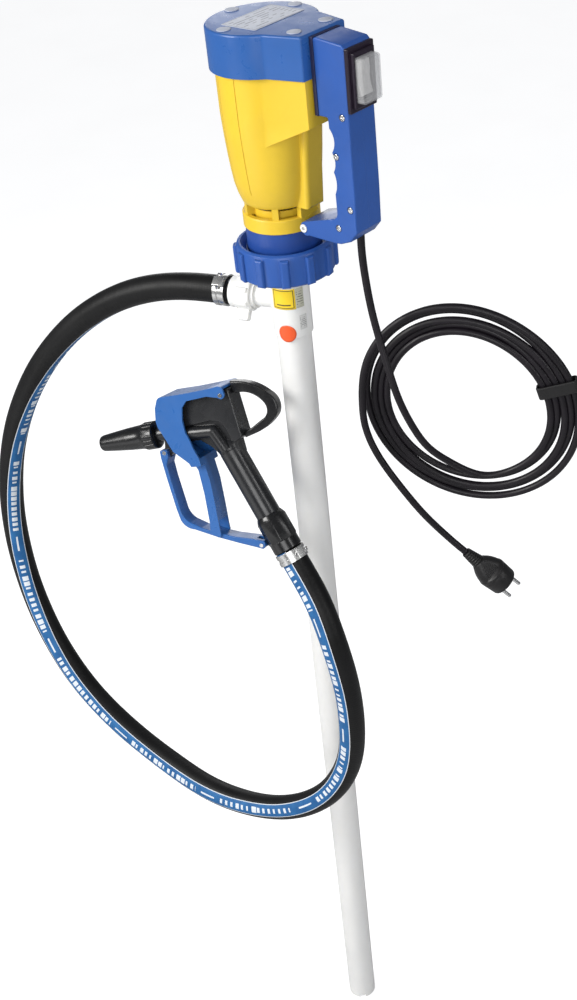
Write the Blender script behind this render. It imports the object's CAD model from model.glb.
import bpy, bmesh, math
import numpy as np
from mathutils import Vector, Matrix


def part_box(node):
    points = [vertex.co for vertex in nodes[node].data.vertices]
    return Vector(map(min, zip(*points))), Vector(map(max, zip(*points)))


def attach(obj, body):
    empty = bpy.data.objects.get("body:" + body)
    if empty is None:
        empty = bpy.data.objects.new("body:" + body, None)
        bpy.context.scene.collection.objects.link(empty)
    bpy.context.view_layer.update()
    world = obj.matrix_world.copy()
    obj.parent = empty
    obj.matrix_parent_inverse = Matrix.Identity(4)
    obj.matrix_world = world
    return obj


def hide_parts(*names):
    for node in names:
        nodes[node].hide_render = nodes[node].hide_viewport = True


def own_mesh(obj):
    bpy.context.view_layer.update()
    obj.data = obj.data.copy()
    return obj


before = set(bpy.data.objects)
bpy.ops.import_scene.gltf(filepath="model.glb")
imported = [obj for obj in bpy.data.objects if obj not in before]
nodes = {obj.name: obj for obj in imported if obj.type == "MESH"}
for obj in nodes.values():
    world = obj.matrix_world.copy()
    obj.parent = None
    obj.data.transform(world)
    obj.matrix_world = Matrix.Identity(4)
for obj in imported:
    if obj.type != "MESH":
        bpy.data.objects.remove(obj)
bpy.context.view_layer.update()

# Drum barrel pump: looks. Metres, +Z up the pump tube, +X towards the pistol handle.

scene = bpy.context.scene
coll = scene.collection
rng = np.random.RandomState(7)


# ------------------------------------------------------------------ materials
class Net:
    """A small helper that builds one node material."""

    def __init__(self, name):
        self.m = bpy.data.materials.new(name)
        self.m.use_nodes = True
        self.t = self.m.node_tree
        self.t.nodes.clear()
        self.out = self.add("ShaderNodeOutputMaterial")
        self.b = self.add("ShaderNodeBsdfPrincipled")
        self.t.links.new(self.b.outputs[0], self.out.inputs[0])
        self.co = self.add("ShaderNodeTexCoord").outputs["Object"]

    def add(self, kind, **props):
        n = self.t.nodes.new(kind)
        for k, v in props.items():
            setattr(n, k, v)
        return n

    def link(self, a, b):
        self.t.links.new(a, b)

    def put(self, socket, value):
        if hasattr(value, "is_linked") or hasattr(value, "links"):
            self.link(value, socket)
        else:
            socket.default_value = value

    def noise(self, scale, detail=4.0, rough=0.55, coord=None, dist=0.0):
        n = self.add("ShaderNodeTexNoise")
        n.inputs["Scale"].default_value = scale
        n.inputs["Detail"].default_value = detail
        n.inputs["Roughness"].default_value = rough
        n.inputs["Distortion"].default_value = dist
        self.link(coord or self.co, n.inputs["Vector"])
        return n.outputs["Fac"]

    def ramp(self, fac, stops):
        n = self.add("ShaderNodeValToRGB")
        e = n.color_ramp.elements
        while len(e) < len(stops):
            e.new(0.5)
        for el, (p, c) in zip(e, stops):
            el.position = p
            el.color = c if len(c) == 4 else (*c, 1)
        self.link(fac, n.inputs[0])
        return n.outputs[0]

    def math(self, op, a, b=None, c=None):
        n = self.add("ShaderNodeMath", operation=op)
        self.put(n.inputs[0], a)
        if b is not None:
            self.put(n.inputs[1], b)
        if c is not None:
            self.put(n.inputs[2], c)
        return n.outputs[0]

    def span(self, v, a, b, c, d):
        n = self.add("ShaderNodeMapRange")
        self.put(n.inputs[0], v)
        for i, x in enumerate((a, b, c, d)):
            n.inputs[i + 1].default_value = x
        return n.outputs[0]

    def mix(self, fac, a, b, blend="MIX"):
        n = self.add("ShaderNodeMix", data_type="RGBA", blend_type=blend)
        self.put(n.inputs["Factor"], fac)
        for s, v in ((n.inputs[6], a), (n.inputs[7], b)):
            self.put(s, v if hasattr(v, "links") else (tuple(v) if len(v) == 4 else (*v, 1)))
        return n.outputs[2]

    def attr(self, name):
        return self.add("ShaderNodeAttribute", attribute_name=name).outputs["Fac"]

    def edges(self, radius):
        """1 on worn edges, 0 on flats."""
        bev = self.add("ShaderNodeBevel", samples=4)
        bev.inputs["Radius"].default_value = radius
        geo = self.add("ShaderNodeNewGeometry")
        dot = self.add("ShaderNodeVectorMath", operation="DOT_PRODUCT")
        self.link(bev.outputs[0], dot.inputs[0])
        self.link(geo.outputs["Normal"], dot.inputs[1])
        return self.span(dot.outputs["Value"], 0.995, 0.93, 0.0, 1.0), bev.outputs[0]

    def bump(self, height, strength, distance=0.001, normal=None):
        n = self.add("ShaderNodeBump")
        n.inputs["Strength"].default_value = strength
        n.inputs["Distance"].default_value = distance
        self.link(height, n.inputs["Height"])
        if normal is not None:
            self.link(normal, n.inputs["Normal"])
        return n.outputs[0]


def plastic(name, col, rough=0.38, grain=1600.0, grain_amt=0.12, mottle=0.10, edge=0.0007, edge_light=1.35, sss=0.0, coat=0.0, scratches=0.5,
            dark=0.8, spec=0.5):
    """Moulded plastic: slow colour drift, fine spark texture, hairline scuffs and slightly paler worn edges."""
    n = Net(name)
    slow = n.noise(14.0, 5.0, 0.6)
    fine = n.noise(grain, 2.0, 0.6)
    patch = n.noise(55.0, 6.0, 0.65, dist=0.4)
    base = n.mix(n.span(slow, 0.3, 0.7, 0.0, 1.0), [c * (1 - mottle) for c in col], [min(1, c * (1 + mottle)) for c in col])
    base = n.mix(n.span(patch, 0.45, 0.8, 0.0, 0.18), base, [c * dark for c in col])
    e, nrm = n.edges(edge)
    base = n.mix(n.math("MULTIPLY", e, 0.35), base, [min(1, c * edge_light + 0.02) for c in col])
    # hairline scuffs: stretched noise
    mp = n.add("ShaderNodeMapping")
    mp.inputs["Scale"].default_value = (1.0, 1.0, 0.06)
    mp.inputs["Rotation"].default_value = (0.5, 0.3, 0.9)
    n.link(n.co, mp.inputs["Vector"])
    scuff = n.span(n.noise(900.0, 3.0, 0.7, coord=mp.outputs[0]), 0.66, 0.78, 0.0, 1.0)
    rgh = n.math("ADD", n.span(patch, 0.3, 0.75, rough - 0.06, rough + 0.10), n.math("MULTIPLY", scuff, 0.10 * scratches))
    n.link(base, n.b.inputs["Base Color"])
    n.link(rgh, n.b.inputs["Roughness"])
    n.b.inputs["Specular IOR Level"].default_value = spec
    h = n.math("ADD", n.math("MULTIPLY", fine, grain_amt), n.math("MULTIPLY", scuff, -0.10 * scratches))
    h = n.math("ADD", h, n.math("MULTIPLY", n.noise(120.0, 3.0), 0.10))
    n.link(n.bump(h, 0.35, 0.0004, nrm), n.b.inputs["Normal"])
    if sss:
        n.b.inputs["Subsurface Weight"].default_value = sss
        n.b.inputs["Subsurface Radius"].default_value = (1.0, 0.95, 0.85)
        n.b.inputs["Subsurface Scale"].default_value = 0.006
    if coat:
        n.b.inputs["Coat Weight"].default_value = coat
        n.b.inputs["Coat Roughness"].default_value = 0.15
    return n


def metal(name, col, rough=0.25, brush=(1.0, 1.0, 0.03), aniso=0.3, pits=0.2):
    """Brushed or ground metal with directional grain and a little tarnish."""
    n = Net(name)
    mp = n.add("ShaderNodeMapping")
    mp.inputs["Scale"].default_value = brush
    n.link(n.co, mp.inputs["Vector"])
    grain = n.noise(2400.0, 3.0, 0.6, coord=mp.outputs[0])
    tarn = n.noise(90.0, 6.0, 0.65)
    e, nrm = n.edges(0.0004)
    base = n.mix(n.span(tarn, 0.4, 0.75, 0.0, pits), col, [c * 0.55 for c in col])
    base = n.mix(n.math("MULTIPLY", e, 0.5), base, [min(1, c * 1.25) for c in col])
    n.link(base, n.b.inputs["Base Color"])
    n.b.inputs["Metallic"].default_value = 1.0
    n.link(n.span(n.math("ADD", n.math("MULTIPLY", grain, 0.6), n.math("MULTIPLY", tarn, 0.4)), 0.3, 0.7, rough * 0.7, rough * 1.5), n.b.inputs["Roughness"])
    n.b.inputs["Anisotropic"].default_value = aniso
    n.link(n.bump(grain, 0.18, 0.0002, nrm), n.b.inputs["Normal"])
    return n


BLUE = (0.019, 0.082, 0.33)
YELLOW = (0.72, 0.49, 0.030)
M = {}
M["blue"] = plastic("blue_plastic", BLUE, rough=0.36, grain=1500, grain_amt=0.16, mottle=0.07).m
M["blue_gloss"] = plastic("blue_cap_plastic", (0.022, 0.098, 0.33), rough=0.30, grain=1300, grain_amt=0.14, mottle=0.06).m
M["blue_dark"] = plastic("blue_neck_plastic", (0.014, 0.058, 0.27), rough=0.36, grain=1500, grain_amt=0.16).m
M["lever"] = plastic("blue_lever_plastic", (0.021, 0.108, 0.34), rough=0.30, grain=1300, grain_amt=0.14, mottle=0.06).m
M["yellow"] = plastic("yellow_plastic", YELLOW, rough=0.34, grain=1400, grain_amt=0.14, mottle=0.05, dark=0.86, edge_light=1.15).m
M["tube"] = plastic("natural_polypropylene", (0.78, 0.775, 0.755), rough=0.36, grain=700, grain_amt=0.10, mottle=0.03, sss=0.35, dark=0.93, edge_light=1.06, scratches=1.0).m
M["head"] = plastic("white_moulded_polypropylene", (0.78, 0.78, 0.76), rough=0.38, grain=900, grain_amt=0.16, mottle=0.03, sss=0.30, dark=0.92, edge_light=1.06).m
M["white"] = plastic("white_plastic", (0.78, 0.78, 0.76), rough=0.4, mottle=0.03, dark=0.93, edge_light=1.05).m
M["grey"] = plastic("light_grey_plastic", (0.42, 0.45, 0.53), rough=0.42, mottle=0.05, dark=0.88).m
M["rocker"] = plastic("rocker_plastic", (0.62, 0.60, 0.58), rough=0.35, mottle=0.04, dark=0.9).m
M["black"] = plastic("black_plastic", (0.007, 0.007, 0.0075), rough=0.36, grain=1500, grain_amt=0.2, edge_light=2.4, dark=0.7).m
M["nozzle"] = plastic("black_nozzle_plastic", (0.0062, 0.0064, 0.007), rough=0.24, grain=1100, grain_amt=0.16, edge_light=2.6, dark=0.7, scratches=1.2).m
M["bezel"] = plastic("switch_bezel_plastic", (0.010, 0.004, 0.014), rough=0.34, grain=1500, grain_amt=0.18, edge_light=2.2, dark=0.7).m
M["gasket"] = plastic("dark_blue_rubber", (0.018, 0.022, 0.075), rough=0.6, grain=1800, grain_amt=0.3).m
M["rubber"] = plastic("black_rubber", (0.008, 0.0075, 0.008), rough=0.42, grain=1900, grain_amt=0.25, edge_light=1.8, spec=0.4).m
M["bush"] = plastic("bearing_plastic", (0.60, 0.59, 0.54), rough=0.45).m
M["steel"] = metal("stainless_steel", (0.60, 0.60, 0.59), rough=0.26).m
M["bright"] = metal("nickel_plate", (0.74, 0.74, 0.74), rough=0.14, pits=0.1).m
M["copper"] = metal("enamelled_copper", (0.60, 0.26, 0.11), rough=0.32).m
M["brass"] = metal("plated_brass", (0.68, 0.50, 0.20), rough=0.28).m
M["lamination"] = metal("electrical_steel", (0.24, 0.25, 0.27), rough=0.45, brush=(0.03, 0.03, 1.0)).m
M["carbon"] = plastic("carbon_brush", (0.02, 0.02, 0.02), rough=0.7, grain=2000, grain_amt=0.4).m


def hood_material():
    """Black nozzle cover with the cloudy grey bloom of handled plastic."""
    n = plastic("nozzle_cover_plastic", (0.013, 0.0135, 0.015), rough=0.26, grain=1100, grain_amt=0.12, edge_light=3.0, dark=0.75, scratches=1.6)
    return n.m


def clear_material():
    """Clear soft switch cover, slightly milky, with dust."""
    n = Net("clear_cover")
    dust = n.noise(240.0, 6.0, 0.7)
    fine = n.noise(35.0, 4.0, 0.6)
    tr = n.add("ShaderNodeBsdfTransparent")
    tr.inputs[0].default_value = (0.93, 0.935, 0.94, 1)
    n.link(n.mix(n.span(fine, 0.3, 0.8, 0.0, 1.0), (0.60, 0.60, 0.61), (0.72, 0.72, 0.72)), n.b.inputs["Base Color"])
    n.link(n.span(fine, 0.3, 0.7, 0.06, 0.14), n.b.inputs["Roughness"])
    n.link(n.bump(n.noise(70.0, 3.0), 0.25, 0.0012), n.b.inputs["Normal"])
    lw = n.add("ShaderNodeLayerWeight")
    lw.inputs["Blend"].default_value = 0.35
    fac = n.math("ADD", n.span(lw.outputs["Facing"], 0.0, 1.0, 0.10, 0.70), n.span(dust, 0.5, 0.85, 0.0, 0.06))
    mx = n.add("ShaderNodeMixShader")
    n.link(fac, mx.inputs[0])
    n.link(tr.outputs[0], mx.inputs[1])
    n.link(n.b.outputs[0], mx.inputs[2])
    n.link(mx.outputs[0], n.out.inputs[0])
    return n.m


def hose_material():
    """Black hose cover with faint wrap marks and a blue layline between white lines, carrying plain dashes."""
    n = Net("hose_cover")
    ang, run = n.attr("around"), n.attr("along")
    across = n.math("ABSOLUTE", ang)
    wander = n.math("MULTIPLY", n.math("SUBTRACT", n.noise(9.0, 2.0), 0.5), 0.02)
    across = n.math("ADD", across, wander)
    worn = n.noise(420.0, 6.0, 0.75)
    keep = n.span(worn, 0.30, 0.42, 0.55, 1.0)
    slow = n.noise(20.0, 5.0, 0.6)
    black = n.mix(n.span(slow, 0.3, 0.7, 0, 1), (0.0048, 0.0048, 0.005), (0.0085, 0.0085, 0.0088))
    # band edges, in turns round the hose
    band = n.math("LESS_THAN", across, 0.094)
    line = n.math("MULTIPLY", n.math("GREATER_THAN", across, 0.084), band)
    blue = n.mix(n.span(n.noise(60.0, 4.0), 0.3, 0.7, 0, 1), (0.014, 0.085, 0.235), (0.026, 0.135, 0.33))
    # dashes of uneven length along the middle of the band, in groups
    cell = n.math("MULTIPLY", run, 115.0)
    comb = n.add("ShaderNodeCombineXYZ")
    n.link(n.math("FLOOR", cell), comb.inputs[0])
    wn = n.add("ShaderNodeTexWhiteNoise", noise_dimensions="3D")
    n.link(comb.outputs[0], wn.inputs["Vector"])
    length = n.span(wn.outputs["Value"], 0.0, 1.0, 0.25, 0.85)
    dash = n.math("LESS_THAN", n.math("FRACT", cell), length)
    grp = n.math("LESS_THAN", n.math("FRACT", n.math("MULTIPLY", run, 6.1)), 0.74)
    tall = n.math("LESS_THAN", across, n.span(wn.outputs["Value"], 0.0, 1.0, 0.030, 0.042))
    mark = n.math("MULTIPLY", n.math("MULTIPLY", dash, grp), tall)
    # a plain solid bar between the groups
    gap = n.math("FRACT", n.math("MULTIPLY", run, 6.1))
    bar = n.math("MULTIPLY", n.math("MULTIPLY", n.math("GREATER_THAN", gap, 0.80), n.math("LESS_THAN", gap, 0.94)), n.math("LESS_THAN", across, 0.012))
    ink = n.math("MAXIMUM", n.math("MAXIMUM", mark, bar), line)
    col = n.mix(n.math("MULTIPLY", band, keep), black, blue)
    col = n.mix(n.math("MULTIPLY", n.math("MULTIPLY", ink, band), keep), col, (0.62, 0.66, 0.70))
    n.link(col, n.b.inputs["Base Color"])
    n.link(n.math("ADD", n.span(slow, 0.3, 0.7, 0.40, 0.52), n.math("MULTIPLY", band, 0.06)), n.b.inputs["Roughness"])
    n.b.inputs["Specular IOR Level"].default_value = 0.20
    # helical cloth wrap marks and fine rubber grain
    turns = n.math("ADD", n.math("MULTIPLY", run, 290.0), ang)
    wrap = n.math("SINE", n.math("MULTIPLY", turns, 2 * math.pi))
    fold = n.math("SINE", n.math("MULTIPLY", n.math("ADD", n.math("MULTIPLY", run, 26.0), ang), 2 * math.pi))
    h = n.math("ADD", n.math("MULTIPLY", wrap, 0.14), n.math("MULTIPLY", n.noise(1100.0, 3.0), 0.55))
    h = n.math("ADD", h, n.math("MULTIPLY", n.math("POWER", n.math("ABSOLUTE", fold), 14.0), 0.35))
    n.link(n.bump(h, 0.35, 0.0005), n.b.inputs["Normal"])
    return n.m


def cord_material():
    """Black rubber cord jacket with a slight violet cast."""
    n = Net("cord_jacket")
    ang, run = n.attr("around"), n.attr("along")
    slow = n.noise(26.0, 5.0)
    n.link(n.mix(n.span(slow, 0.3, 0.7, 0, 1), (0.004, 0.0033, 0.0048), (0.009, 0.0065, 0.010)), n.b.inputs["Base Color"])
    n.link(n.span(n.noise(60.0, 4.0), 0.3, 0.7, 0.34, 0.50), n.b.inputs["Roughness"])
    n.b.inputs["Specular IOR Level"].default_value = 0.32
    twist = n.math("SINE", n.math("MULTIPLY", n.math("ADD", n.math("MULTIPLY", run, 18.0), n.math("MULTIPLY", ang, 3.0)), 2 * math.pi))
    h = n.math("ADD", n.math("MULTIPLY", twist, 0.10), n.math("MULTIPLY", n.noise(1500.0, 2.0), 0.5))
    n.link(n.bump(h, 0.3, 0.0004), n.b.inputs["Normal"])
    return n.m


def plate_material():
    """Printed rating plate: a ruled grid with plain grey bars and no lettering."""
    lo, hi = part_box("rating_plate")
    n = plastic("rating_plate_print", (0.46, 0.49, 0.56), rough=0.34, grain=1200, grain_amt=0.05, mottle=0.03, dark=0.94)
    sep = n.add("ShaderNodeSeparateXYZ")
    n.link(n.co, sep.inputs[0])
    u = n.span(sep.outputs[0], lo.x, hi.x, 0.0, 1.0)
    v = n.span(sep.outputs[1], lo.y, hi.y, 0.0, 1.0)
    rows = n.math("MULTIPLY", u, 9.0)
    rule = n.math("LESS_THAN", n.math("ABSOLUTE", n.math("SUBTRACT", n.math("FRACT", rows), 0.5)), 0.15)
    comb = n.add("ShaderNodeCombineXYZ")
    n.link(n.math("FLOOR", rows), comb.inputs[0])
    n.link(n.math("FLOOR", n.math("MULTIPLY", v, 13.0)), comb.inputs[1])
    wn = n.add("ShaderNodeTexWhiteNoise", noise_dimensions="3D")
    n.link(comb.outputs[0], wn.inputs["Vector"])
    on = n.math("GREATER_THAN", wn.outputs["Value"], 0.42)
    inside = n.math("MULTIPLY", n.math("MULTIPLY", n.math("GREATER_THAN", u, 0.10), n.math("LESS_THAN", u, 0.90)),
                    n.math("MULTIPLY", n.math("GREATER_THAN", v, 0.07), n.math("LESS_THAN", v, 0.93)))
    frame_u = n.math("ABSOLUTE", n.math("SUBTRACT", u, 0.5))
    frame_v = n.math("ABSOLUTE", n.math("SUBTRACT", v, 0.5))
    border = n.math("MULTIPLY", n.math("MAXIMUM", n.math("GREATER_THAN", frame_u, 0.45), n.math("GREATER_THAN", frame_v, 0.465)),
                    n.math("MULTIPLY", n.math("LESS_THAN", frame_u, 0.468), n.math("LESS_THAN", frame_v, 0.476)))
    ink = n.math("MAXIMUM", n.math("MULTIPLY", n.math("MULTIPLY", rule, on), inside), border)
    old = n.b.inputs["Base Color"].links[0].from_socket
    n.link(n.mix(n.math("MULTIPLY", ink, 0.85), old, (0.06, 0.07, 0.12)), n.b.inputs["Base Color"])
    return n.m


def sticker_material(name, col, kind):
    """Paper label with plain printed shapes, slightly creased."""
    n = Net(name)
    u, v = n.attr("u"), n.attr("v")
    col_ = n.mix(n.span(n.noise(70.0, 4.0), 0.3, 0.7, 0, 1), [c * 0.93 for c in col], col)
    if kind == "rows":
        rows = n.math("MULTIPLY", v, 8.0)
        comb = n.add("ShaderNodeCombineXYZ")
        n.link(n.math("FLOOR", rows), comb.inputs[0])
        n.link(n.math("FLOOR", n.math("MULTIPLY", u, 9.0)), comb.inputs[1])
        wn = n.add("ShaderNodeTexWhiteNoise", noise_dimensions="3D")
        n.link(comb.outputs[0], wn.inputs["Vector"])
        rule = n.math("LESS_THAN", n.math("ABSOLUTE", n.math("SUBTRACT", n.math("FRACT", rows), 0.5)), 0.17)
        pad = n.math("MULTIPLY", n.math("LESS_THAN", n.math("ABSOLUTE", n.math("SUBTRACT", u, 0.5)), 0.42),
                     n.math("LESS_THAN", n.math("ABSOLUTE", n.math("SUBTRACT", v, 0.5)), 0.42))
        ink = n.math("MULTIPLY", n.math("MULTIPLY", rule, n.math("GREATER_THAN", wn.outputs["Value"], 0.3)), pad)
        col_ = n.mix(n.math("MULTIPLY", ink, 0.7), col_, (0.06, 0.06, 0.07))
    if kind == "block":
        ring = n.math("MULTIPLY", n.math("LESS_THAN", n.math("ABSOLUTE", n.math("SUBTRACT", u, 0.5)), 0.44),
                      n.math("LESS_THAN", n.math("ABSOLUTE", n.math("SUBTRACT", v, 0.5)), 0.44))
        core = n.math("MULTIPLY", n.math("LESS_THAN", n.math("ABSOLUTE", n.math("SUBTRACT", u, 0.5)), 0.40),
                      n.math("LESS_THAN", n.math("ABSOLUTE", n.math("SUBTRACT", v, 0.5)), 0.40))
        low = n.math("MULTIPLY", n.math("LESS_THAN", n.math("ABSOLUTE", n.math("SUBTRACT", v, 0.22)), 0.035),
                     n.math("LESS_THAN", n.math("ABSOLUTE", n.math("SUBTRACT", u, 0.5)), 0.30))
        ink = n.math("MAXIMUM", n.math("SUBTRACT", ring, core), low)
        col_ = n.mix(n.math("MULTIPLY", ink, 0.85), col_, (0.02, 0.02, 0.02))
    n.link(col_, n.b.inputs["Base Color"])
    n.b.inputs["Roughness"].default_value = 0.38
    n.link(n.bump(n.noise(160.0, 4.0), 0.25, 0.0004), n.b.inputs["Normal"])
    return n.m


M["hood"] = hood_material()
M["clear"] = clear_material()
M["hose"] = hose_material()
M["cord"] = cord_material()
M["plate"] = plate_material()

# ------------------------------------------------------------------ carried-over CAD nodes
LOOK = {
    "suction_foot": "tube", "outer_tube": "tube", "shaft_guide_tube": "tube", "guide_bushes": "bush", "pump_head": "head", "shaft_seal": "rubber",
    "bearing_outer_rings": "bright", "bearing_balls": "bright", "pump_bearing_inner_ring": "bright", "motor_bearing_inner_rings": "bright",
    "drive_shaft": "steel", "impeller": "head", "pump_coupling": "black", "motor_coupling": "black", "coupling_nut": "blue", "nut_slip_ring": "white",
    "union_wing_nut": "head", "hose_connector": "head", "union_gasket": "rubber", "hose_clamps": "steel", "clamp_screws": "bright",
    "motor_neck": "blue_dark", "motor_body": "yellow", "motor_cap": "blue_gloss", "cap_screw_plugs": "grey", "rating_plate": "plate",
    "stator_stack": "lamination", "field_coils": "copper", "armature_shaft": "steel", "armature_stack": "lamination", "armature_windings": "copper",
    "commutator": "copper", "cooling_fan": "black", "brush_bridge": "black", "brush_holders": "brass", "carbon_brushes": "carbon",
    "brush_springs": "steel", "handle_gasket": "gasket", "handle_left_half": "blue", "handle_right_half": "blue", "handle_screws": "bright",
    "arm_bush": "white", "switch_bezel": "bezel", "switch_body": "black", "switch_rocker": "rocker", "switch_cover": "clear", "cord_tie": "rubber",
    "plug_pins": "bright", "nozzle_body": "hood", "inlet_adaptor": "nozzle", "nozzle_spout": "nozzle", "nozzle_lever": "lever",
    "nozzle_pins": "bright", "trigger_guard": "lever", "hanging_hook": "nozzle", "valve_stem": "steel", "valve_spring": "steel",
    "discharge_hose": "hose", "power_cord": "cord", "plug_body": "rubber",
}


def soften(o, angle=32.0):
    """Welds the facets and shades them smooth except at real edges, without touching the node's own vertices."""
    tree = bpy.data.node_groups.get("soften") or None
    if tree is None:
        tree = bpy.data.node_groups.new("soften", "GeometryNodeTree")
        tree.interface.new_socket("Geometry", in_out="INPUT", socket_type="NodeSocketGeometry")
        tree.interface.new_socket("Geometry", in_out="OUTPUT", socket_type="NodeSocketGeometry")
        gi = tree.nodes.new("NodeGroupInput")
        go = tree.nodes.new("NodeGroupOutput")
        weld = tree.nodes.new("GeometryNodeMergeByDistance")
        weld.inputs["Distance"].default_value = 1e-6
        ang = tree.nodes.new("GeometryNodeInputMeshEdgeAngle")
        cmp_ = tree.nodes.new("FunctionNodeCompare")
        cmp_.data_type = "FLOAT"
        cmp_.operation = "LESS_EQUAL"
        cmp_.inputs[1].default_value = math.radians(angle)
        sm_e = tree.nodes.new("GeometryNodeSetShadeSmooth")
        sm_e.domain = "EDGE"
        sm_f = tree.nodes.new("GeometryNodeSetShadeSmooth")
        sm_f.domain = "FACE"
        L = tree.links
        L.new(gi.outputs[0], weld.inputs[0])
        L.new(weld.outputs[0], sm_f.inputs[0])
        sm_f.inputs["Shade Smooth"].default_value = True
        L.new(sm_f.outputs[0], sm_e.inputs[0])
        L.new(ang.outputs["Unsigned Angle"], cmp_.inputs[0])
        L.new(cmp_.outputs[0], sm_e.inputs["Shade Smooth"])
        L.new(sm_e.outputs[0], go.inputs[0])
    m = o.modifiers.new("soften", "NODES")
    m.node_group = tree


for name, o in nodes.items():
    o.data.materials.clear()
    o.data.materials.append(M[LOOK[name]])
    soften(o)


# ------------------------------------------------------------------ soft lines
def spline(points, t0, t1, step):
    """Cubic spline through points with end directions t0 and t1, resampled evenly; returns points and length."""
    p = np.array([list(v) for v in points], float)
    h = np.linalg.norm(np.diff(p, axis=0), axis=1)
    n = len(p)
    a = np.zeros((n, n))
    b = np.zeros((n, 3))
    a[0, 0] = a[-1, -1] = 1.0
    b[0], b[-1] = t0, t1
    for i in range(1, n - 1):
        a[i, i - 1] = h[i]
        a[i, i] = 2 * (h[i - 1] + h[i])
        a[i, i + 1] = h[i - 1]
        b[i] = 3 * (h[i] / h[i - 1] * (p[i] - p[i - 1]) + h[i - 1] / h[i] * (p[i + 1] - p[i]))
    m = np.linalg.solve(a, b)
    out = []
    for i in range(n - 1):
        k = 24
        for j in range(k + (i == n - 2)):
            s = j / k
            h00, h10, h01, h11 = 2 * s**3 - 3 * s**2 + 1, s**3 - 2 * s**2 + s, -2 * s**3 + 3 * s**2, s**3 - s**2
            out.append(h00 * p[i] + h10 * h[i] * m[i] + h01 * p[i + 1] + h11 * h[i] * m[i + 1])
    out = np.array(out)
    d = np.r_[0, np.cumsum(np.linalg.norm(np.diff(out, axis=0), axis=1))]
    cnt = int(round(d[-1] / step)) + 1
    u = np.linspace(0, d[-1], cnt)
    return np.stack([np.interp(u, d, out[:, i]) for i in range(3)], -1), u


def frames(path, seed):
    """Tangent and two side vectors at each point, carried along without twist from seed."""
    t = np.gradient(path, axis=0)
    t /= np.linalg.norm(t, axis=1)[:, None]
    a = np.zeros_like(path)
    v = np.array(seed, float)
    for i in range(len(path)):
        v = v - t[i] * (v @ t[i])
        v /= np.linalg.norm(v)
        a[i] = v
    return t, a, np.cross(t, a)


def pipe(name, path, run, side, r, segs, closed_ends=True, bore=None, wobble=None):
    """A swept skin whose 'around' attribute is 0 along the side vectors and whose 'along' is the run in metres."""
    t, a, b = side
    bm = bmesh.new()
    rings = []
    ang0 = [(-0.5 + k / segs) for k in range(segs + 1)]
    lay_a = bm.verts.layers.float.new("around")
    lay_r = bm.verts.layers.float.new("along")
    for i, c in enumerate(path):
        ring = []
        for k in range(segs + 1):
            th = ang0[k] * 2 * math.pi
            rr = r if wobble is None else r * (1 + wobble(run[i], ang0[k]))
            q = c + (a[i] * math.cos(th) + b[i] * math.sin(th)) * rr
            vv = bm.verts.new(q)
            vv[lay_a] = ang0[k]
            vv[lay_r] = run[i]
            ring.append(vv)
        rings.append(ring)
    for r0, r1 in zip(rings, rings[1:]):
        for k in range(segs):
            f = bm.faces.new((r0[k], r0[k + 1], r1[k + 1], r1[k]))
            f.smooth = True
    if bore is not None:
        inner = []
        for i, c in ((0, path[0]), (len(path) - 1, path[-1])):
            sgn = 1 if i == 0 else -1
            loop, deep = [], []
            for k in range(segs + 1):
                th = ang0[k] * 2 * math.pi
                dirn = a[i] * math.cos(th) + b[i] * math.sin(th)
                for lst, cc in ((loop, c), (deep, c + t[i] * sgn * 0.012)):
                    vv = bm.verts.new(cc + dirn * bore)
                    vv[lay_a] = 0.5
                    vv[lay_r] = run[i]
                    lst.append(vv)
            inner.append((loop, deep))
        for (loop, deep), ring in zip(inner, (rings[0], rings[-1])):
            for k in range(segs):
                bm.faces.new((ring[k], loop[k], loop[k + 1], ring[k + 1]))
                bm.faces.new((loop[k], deep[k], deep[k + 1], loop[k + 1])).smooth = True
            cv = bm.verts.new(sum((v.co for v in deep[:-1]), Vector()) / segs)
            cv[lay_a] = 0.5
            for k in range(segs):
                bm.faces.new((deep[k], cv, deep[k + 1]))
    elif closed_ends:
        for ring in (rings[0], rings[-1]):
            cv = bm.verts.new(sum((v.co for v in ring[:-1]), Vector()) / segs)
            cv[lay_a] = 0.5
            for k in range(segs):
                bm.faces.new((ring[k], cv, ring[k + 1]))
    return finish(name, bm, merge=True)


def finish(name, bm, merge=False, mat=None, smooth=None):
    if merge:
        # close the seam opposite the mark without disturbing the attributes
        bmesh.ops.remove_doubles(bm, verts=bm.verts, dist=1e-7) if False else None
    bmesh.ops.recalc_face_normals(bm, faces=bm.faces)
    me = bpy.data.meshes.new(name)
    bm.to_mesh(me)
    bm.free()
    o = bpy.data.objects.new(name, me)
    coll.objects.link(o)
    if smooth is not None:
        for p in me.polygons:
            p.use_smooth = smooth
    if mat is not None:
        me.materials.append(mat)
    return o


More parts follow.
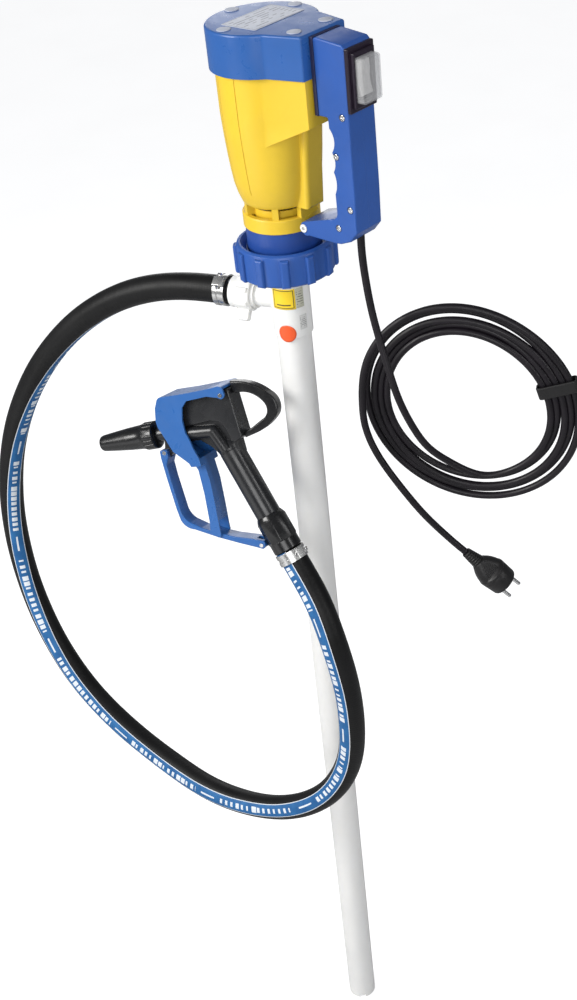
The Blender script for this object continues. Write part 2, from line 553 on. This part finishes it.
mm = 0.001
az = math.radians(198)
E = np.array([math.cos(az), math.sin(az), 0.0])
lo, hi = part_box("union_gasket")
LVL = (lo.z + hi.z) / 2
NAT = np.array([43.36, -88.94, 950.73])
NX = np.array([-0.90002, -0.38501, -0.20426])
NZ = np.array([-0.29408, 0.19057, 0.93659])
NZ -= NX * (NX @ NZ)
NZ /= np.linalg.norm(NZ)
NY = np.cross(NZ, NX)
ND = np.array([0.3685, 0, 0.9296])
ND /= np.linalg.norm(ND)
DN = NX * ND[0] + NZ * ND[2]
P0 = NAT + NX * -0.5
HOSE = [(-135.3, -44.8, 1240.1), (-195.2, -67.0, 1226.4), (-250.0, -88.3, 1197.7), (-298.0, -107.5, 1157.6),
        (-339.1, -124.2, 1109.4), (-373.2, -138.0, 1055.3), (-399.8, -149.4, 996.5), (-417.2, -158.8, 934.1),
        (-423.9, -166.8, 869.5), (-418.1, -173.9, 804.7), (-399.9, -180.0, 742.2), (-369.9, -184.2, 684.2),
        (-328.6, -185.7, 633.5), (-277.2, -183.5, 593.1), (-218.7, -178.8, 564.1), (-156.3, -173.8, 545.0),
        (-91.7, -169.3, 535.6), (-26.5, -159.3, 538.3), (36.8, -141.9, 554.8), (89.9, -118.8, 594.0), (120.1,
        -102.4, 655.8), (130.3, -100.1, 722.8), (129.4, -101.6, 788.3), (117.4, -103.9, 852.6), (88.5, -96.6,
        903.0)]
e0 = np.array([E[0] * 77, E[1] * 77, LVL * 1000])
hose_path, hose_run = spline([e0, e0 + E * 20] + [np.array(p) for p in HOSE] + [P0 - DN * 14, P0 + DN * 4.2], E, DN, 2.2)
hose_path *= mm
hose_run = hose_run * mm
t = np.gradient(hose_path, axis=0)
t /= np.linalg.norm(t, axis=1)[:, None]
# the layline faces the middle of the loop and turns slowly round the hose on the way
TURN = (120, 118, 95, 66, 47, 16, 9, 11, 17, 14, 12, 16)
middle = np.array([-0.150, -0.150, 0.880])
toward = np.array([0.5994, -0.5734, 0.5585])
side = []
for i in range(len(hose_path)):
    w = middle - hose_path[i]
    w -= t[i] * (w @ t[i])
    w /= np.linalg.norm(w)
    c = toward - t[i] * (toward @ t[i])
    c -= w * (c @ w)
    c /= np.linalg.norm(c)
    turn = math.radians(float(np.interp(hose_run[i] / hose_run[-1], (0.0, 0.10, 0.20, 0.30, 0.38, 0.50, 0.60, 0.66, 0.72, 0.80, 0.90, 1.0), TURN)))
    side.append(w * math.sin(turn) + c * math.cos(turn))
side = np.array(side)
ker = np.hanning(121)
ker /= ker.sum()
pad = np.vstack([np.repeat(side[:1], 60, 0), side, np.repeat(side[-1:], 60, 0)])
side = np.stack([np.convolve(pad[:, k], ker, "valid") for k in range(3)], -1)
side -= t * np.sum(side * t, 1)[:, None]
side /= np.linalg.norm(side, axis=1)[:, None]
hose = pipe("hose_skin", hose_path, hose_run, (t, side, np.cross(t, side)), 16.5 * mm, 56, bore=9.5 * mm,
            wobble=lambda s, a: 0.004 * math.sin(s * 61.0) + 0.003 * math.sin(s * 23.0 + 1.0) - 0.004)
hose.data.materials.append(M["hose"])
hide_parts("discharge_hose")
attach(hose, "pump")

ce, se = math.cos(math.radians(45.176)), math.sin(math.radians(45.176))
EC = np.array([se, -ce, 0.0])
ES = np.array([ce, se, 0.0])
ZU = np.array([0, 0, 1.0])


def on_coil(rho, ang, c):
    rho = rho * (1 - 0.05 * math.sin(2 * ang))
    return EC * 78 + ES * 191.5 + ZU * 1119.0 + ES * (0.985 * rho * math.cos(ang)) + ZU * (1.057 * rho * math.sin(ang)) + EC * (c + 0.29 * rho * math.cos(ang))


cord_pts = [(114.9, 0, 1352), (114.5, 0, 1332), (116.0, 1.5, 1292), (121.0, 3.0, 1252), (130.3, 3.5, 1215),
            (140.5, 2.6, 1185), (148.4, 4.8, 1155.5), (157.2, 16.3, 1114.9), (165.6, 36.6, 1075.5), (179.2, 59.2, 1048.5)]
turns = 4.715
for i in range(77):
    tt = turns * i / 76
    ang = math.radians(280) + 2 * math.pi * tt
    c = 2.8 * math.sin(ang + 0.6) + 2.2 * math.sin(2 * ang + 1.0)
    if tt < 0.3:
        c += 7 * (1 - tt / 0.3) ** 2
    if tt > turns - 0.3:
        c += 14 * ((tt - turns + 0.3) / 0.3) ** 2
    # the loops wander and cross a little, but lie side by side where the tie holds them
    off = (ang - math.radians(17) + math.pi) % (2 * math.pi) - math.pi
    loose = (1 - math.exp(-off * off / 0.35)) * min(1, tt / 0.4) * min(1, (turns - tt) / 0.4)
    run = 2 * math.pi * tt
    rho = 87.0 + 7.6 * tt + loose * (0.9 * math.sin(0.61 * run + 0.4) + 0.6 * math.sin(1.43 * run + 2.2))
    c += loose * 3.0 * math.sin(0.47 * run + 1.1)
    cord_pts.append(tuple(on_coil(rho, ang, c)))
PD = np.array([0.52744, 0.43982, -0.72689])
PD /= np.linalg.norm(PD)
PLUG = np.array([184.8, 72.4, 913.5])
cord_pts += [(91.2, 9.7, 1096.3), (100.8, 11.8, 1066.7), (115.2, 17.6, 1037.9), (131.7, 26.7, 1007.6), (147.1, 39.6, 975.7),
             (162.0, 55.8, 944.9), tuple(PLUG + PD * 1.0)]
cord_path, cord_run = spline(cord_pts, np.array([-0.02, 0, -1.0]), PD, 3.2)
cord_path *= mm
cord_run = cord_run * mm
cord = pipe("cord_skin", cord_path, cord_run, frames(cord_path, (0.3, 1, 0.1)), 4.25 * mm, 20)
cord.data.materials.append(M["cord"])
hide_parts("power_cord")
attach(cord, "pump")

# the tie's strap closes on the loops
TA = math.radians(17)
front = 2.8 * math.sin(TA + 0.6) + 2.2 * math.sin(2 * TA + 1.0)
radial = ES * math.cos(TA) + ZU * (1.057 * math.sin(TA)) + EC * (0.29 * math.cos(TA))
radial /= np.linalg.norm(radial)
strap_mid = EC * (78 + front + 0.29 * 104.9 * math.cos(TA)) + ES * (192.5 + 104.9 * math.cos(TA)) + ZU * (1119.0 + 1.025 * 104.9 * math.sin(TA))
loops_mid = on_coil(104.2, TA, front)
out_ = np.array(nodes["cord_tie"].matrix_world)
tie = bpy.data.objects.new("tie_strap", nodes["cord_tie"].data.copy())
bpy.context.collection.objects.link(tie)
for v in tie.data.vertices:
    rel = (out_[:3, :3] @ np.array(v.co) + out_[:3, 3]) / mm - strap_mid
    rel -= radial * (0.105 * (rel @ radial))
    v.co = Vector(tuple((loops_mid + rel) * mm))
tie.data.materials.clear()
tie.data.materials.append(M["rubber"])
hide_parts("cord_tie")
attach(tie, "pump")

# ------------------------------------------------------------------ valve spring
spring_path = []
for i in range(157):
    a, z = 2 * math.pi * i / 24, 173.55 + 18.3 * i / 156
    spring_path.append(NAT + NX * (72 + 5.5 * math.cos(a)) + NY * (5.5 * math.sin(a)) + NZ * z)
spring_path = np.array(spring_path) * mm
spring_run = np.concatenate([[0.0], np.cumsum(np.linalg.norm(np.diff(spring_path, axis=0), axis=1))])
spring = pipe("spring_coil", spring_path, spring_run, frames(spring_path, tuple(NZ)), 0.8 * mm, 10)
spring.data.materials.append(M["steel"])
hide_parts("valve_spring")
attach(spring, "pump")
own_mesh(spring)

# ------------------------------------------------------------------ mains plug
PL = np.array([-0.18209, -0.77717, -0.60237])
PL -= PD * (PL @ PD)
PL /= np.linalg.norm(PL)
PM = np.cross(PD, PL)


def loft(name, prof, segs, place, mat):
    """Closed loft of superellipse rings: (z, half width, half depth, squareness)."""
    bm = bmesh.new()
    rings = []
    for z, rx, ry, p in prof:
        ring = []
        for k in range(segs):
            th = 2 * math.pi * k / segs
            c, s = math.cos(th), math.sin(th)
            x = rx * math.copysign(abs(c) ** (2 / p), c)
            y = ry * math.copysign(abs(s) ** (2 / p), s)
            ring.append(bm.verts.new(place(x, y, z)))
        rings.append(ring)
    for r0, r1 in zip(rings, rings[1:]):
        for k in range(segs):
            bm.faces.new((r0[k], r0[(k + 1) % segs], r1[(k + 1) % segs], r1[k])).smooth = True
    for ring in (rings[0], rings[-1]):
        cv = bm.verts.new(sum((v.co for v in ring), Vector()) / segs)
        for k in range(segs):
            bm.faces.new((ring[k], ring[(k + 1) % segs], cv))
    return finish(name, bm, mat=mat)


def plug_place(x, y, z):
    return Vector((PLUG + PL * x + PM * y + PD * z) * mm)


prof = [(0.0, 5.0, 5.0, 2), (0.3, 6.0, 6.0, 2)]
for k in range(6):
    z = 1.2 + k * 3.3
    r = 6.3 + k * 0.45
    prof += [(z, r, r, 2), (z + 1.5, r + 0.1, r + 0.1, 2), (z + 1.8, r - 1.0, r - 1.0, 2), (z + 2.7, r - 0.9, r - 0.9, 2), (z + 3.0, r + 0.3, r + 0.3, 2)]
prof += [(21.6, 9.4, 9.0, 2.1), (24, 11.0, 9.6, 2.3), (28, 13.4, 10.6, 2.6), (33, 15.8, 11.8, 2.9), (37.5, 17.4, 12.8, 3.0), (41, 18.3, 13.4, 2.9),
         (42.2, 18.6, 14.2, 2.6), (42.8, 19.1, 18.4, 2.1), (43.6, 19.5, 19.5, 2.0), (46.0, 19.5, 19.5, 2.0), (46.4, 19.1, 19.1, 2.0), (47.0, 19.1, 19.1, 2.0),
         (47.4, 19.35, 19.35, 2.0), (56, 18.75, 18.75, 2.0), (65.4, 18.0, 18.0, 2.0), (66.5, 17.6, 17.6, 2.0), (67.0, 16.8, 16.8, 2.0), (67.0, 14.6, 14.6, 2.0),
         (66.2, 14.2, 14.2, 2.0), (66.2, 5.0, 5.0, 2.0)]
plug = loft("plug_shell", prof, 56, plug_place, M["rubber"])
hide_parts("plug_body")
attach(plug, "pump")

# finger ribs on the plug's two broad sides
bm = bmesh.new()
for sgn in (1, -1):
    for k in range(5):
        z0 = 27.5 + k * 2.9
        w = 6.0 + k * 1.1
        depth = 10.35 + (z0 - 27.5) * 0.245
        pts = []
        for x, y, z in ((-w, depth - 0.8, z0), (w, depth - 0.8, z0), (w, depth - 0.8, z0 + 1.3), (-w, depth - 0.8, z0 + 1.3),
                        (-w + 0.6, depth + 0.65, z0 + 0.3), (w - 0.6, depth + 0.65, z0 + 0.3), (w - 0.6, depth + 0.65, z0 + 1.0), (-w + 0.6, depth + 0.65, z0 + 1.0)):
            pts.append(bm.verts.new(plug_place(x, y * sgn, z)))
        for f in ((0, 1, 5, 4), (1, 2, 6, 5), (2, 3, 7, 6), (3, 0, 4, 7), (4, 5, 6, 7), (3, 2, 1, 0)):
            bm.faces.new([pts[i] for i in f])
ribs = finish("plug_finger_ribs", bm, mat=M["rubber"])
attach(ribs, "pump")


# ------------------------------------------------------------------ labels on the collar
def collar_label(name, a0, a1, z0, z1, mat, round_=False, r=23.06 * mm):
    """A thin label bent round the head's collar, between two angles and two heights."""
    bm = bmesh.new()
    lu = bm.verts.layers.float.new("u")
    lv = bm.verts.layers.float.new("v")
    nu, nv = 22, 16
    if round_:
        grid = []
        cu, cv_ = (a0 + a1) / 2, (z0 + z1) / 2
        rad = (z1 - z0) / 2
        cen = None
        rows = []
        for j in range(1, 7):
            row = []
            for k in range(36):
                th = 2 * math.pi * k / 36
                dz = rad * j / 6 * math.sin(th)
                da = math.degrees(rad * j / 6 * math.cos(th) / r)
                a = math.radians(cu + da)
                v = bm.verts.new((r * math.cos(a), r * math.sin(a), cv_ + dz))
                row.append(v)
            rows.append(row)
        cen = bm.verts.new((r * math.cos(math.radians(cu)), r * math.sin(math.radians(cu)), cv_))
        for k in range(36):
            bm.faces.new((cen, rows[0][k], rows[0][(k + 1) % 36]))
        for r0, r1 in zip(rows, rows[1:]):
            for k in range(36):
                bm.faces.new((r0[k], r1[k], r1[(k + 1) % 36], r0[(k + 1) % 36]))
    else:
        g = []
        for i in range(nu + 1):
            col = []
            for j in range(nv + 1):
                u, v = i / nu, j / nv
                # small corner rounding
                cx = min(u, 1 - u) * abs(a1 - a0)
                a = math.radians(a0 + (a1 - a0) * u)
                q = bm.verts.new((r * math.cos(a), r * math.sin(a), z0 + (z1 - z0) * v))
                q[lu] = u
                q[lv] = v
                col.append(q)
            g.append(col)
        for i in range(nu):
            for j in range(nv):
                bm.faces.new((g[i][j], g[i + 1][j], g[i + 1][j + 1], g[i][j + 1]))
    o = finish(name, bm, mat=mat, smooth=True)
    so = o.modifiers.new("thick", "SOLIDIFY")
    so.thickness = 0.00012
    so.offset = 1.0
    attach(o, "pump")
    return o


collar_label("label_yellow", -104, -32, 1.2375, 1.2630, sticker_material("label_yellow_paper", (0.85, 0.60, 0.02), "block"))
collar_label("label_grey", -31, -6, 1.2385, 1.2630, sticker_material("label_grey_paper", (0.50, 0.50, 0.40), "rows"))
collar_label("label_dot", -88, -42, 1.1960, 1.2176, sticker_material("label_orange_paper", (0.80, 0.10, 0.02), "plain"), round_=True)
collar_label("label_small", -26, -2, 1.2105, 1.2285, sticker_material("label_white_paper", (0.66, 0.66, 0.64), "rows"))

# ------------------------------------------------------------------ stage
bm = bmesh.new()
bmesh.ops.create_grid(bm, x_segments=2, y_segments=2, size=14.0)
floor = finish("floor", bm)
floor.location = (0, 0, -0.0005)
fl = Net("pale_floor")
fl.link(fl.mix(fl.span(fl.noise(3.0, 3.0), 0.3, 0.7, 0, 1), (0.50, 0.50, 0.50), (0.53, 0.53, 0.53)), fl.b.inputs["Base Color"])
fl.b.inputs["Roughness"].default_value = 0.9
fl.b.inputs["Specular IOR Level"].default_value = 0.1
# seen directly the floor is close to white; it throws less light back up onto the object
fl.b.inputs["Emission Color"].default_value = (1, 1, 1, 1)
fl.link(fl.math("MULTIPLY", fl.add("ShaderNodeLightPath").outputs["Is Camera Ray"], 0.72), fl.b.inputs["Emission Strength"])
floor.data.materials.append(fl.m)

world = bpy.data.worlds.new("studio")
scene.world = world
world.use_nodes = True
bg = world.node_tree.nodes["Background"]
bg.inputs[0].default_value = (0.93, 0.95, 1.0, 1)
wn_ = world.node_tree.nodes
wl = world.node_tree.links
ray = wn_.new("ShaderNodeLightPath")
dim = wn_.new("ShaderNodeMapRange")
dim.inputs[3].default_value = 0.44
dim.inputs[4].default_value = 0.20
wl.new(ray.outputs["Is Glossy Ray"], dim.inputs[0])
wl.new(dim.outputs[0], bg.inputs[1])


def light(name, loc, aim, size, power, col=(1, 1, 1)):
    d = bpy.data.lights.new(name, "AREA")
    d.shape = "RECTANGLE"
    d.size, d.size_y = size
    d.energy = power
    d.color = col
    o = bpy.data.objects.new(name, d)
    coll.objects.link(o)
    o.location = loc
    o.rotation_euler = (Vector(aim) - Vector(loc)).to_track_quat("-Z", "Y").to_euler()
    return o


light("key", (-1.05, -2.15, 2.45), (-0.05, 0, 1.1), (1.1, 1.3), 70, (1.0, 0.99, 0.97))
light("fill", (1.5, -2.0, 1.9), (0.05, 0, 0.95), (1.3, 1.3), 26)
light("strip", (2.1, 0.2, 2.0), (0.05, 0, 1.2), (0.35, 1.8), 12)
light("low", (-0.6, -2.0, 0.5), (0, 0, 0.4), (1.4, 0.8), 4)
light("rim", (-1.9, 1.7, 1.5), (0, 0, 1.0), (0.8, 1.6), 9)

cam = bpy.data.cameras.new("camera")
cam.lens = 52.291
cam.sensor_width = 36
cam.sensor_fit = "AUTO"
cam.clip_end = 50
co = bpy.data.objects.new("camera", cam)
coll.objects.link(co)
R_ = Vector((0.732822, 0.673789, -0.094772))
D_ = Vector((0.321997, -0.466115, -0.824048))
F_ = Vector((-0.599407, 0.573364, -0.558538))
co.matrix_world = Matrix(((R_.x, -D_.x, -F_.x, 1.07259), (R_.y, -D_.y, -F_.y, -1.06601), (R_.z, -D_.z, -F_.z, 1.98173), (0, 0, 0, 1)))
scene.camera = co
scene.view_settings.view_transform = "Standard"
scene.view_settings.look = "None"
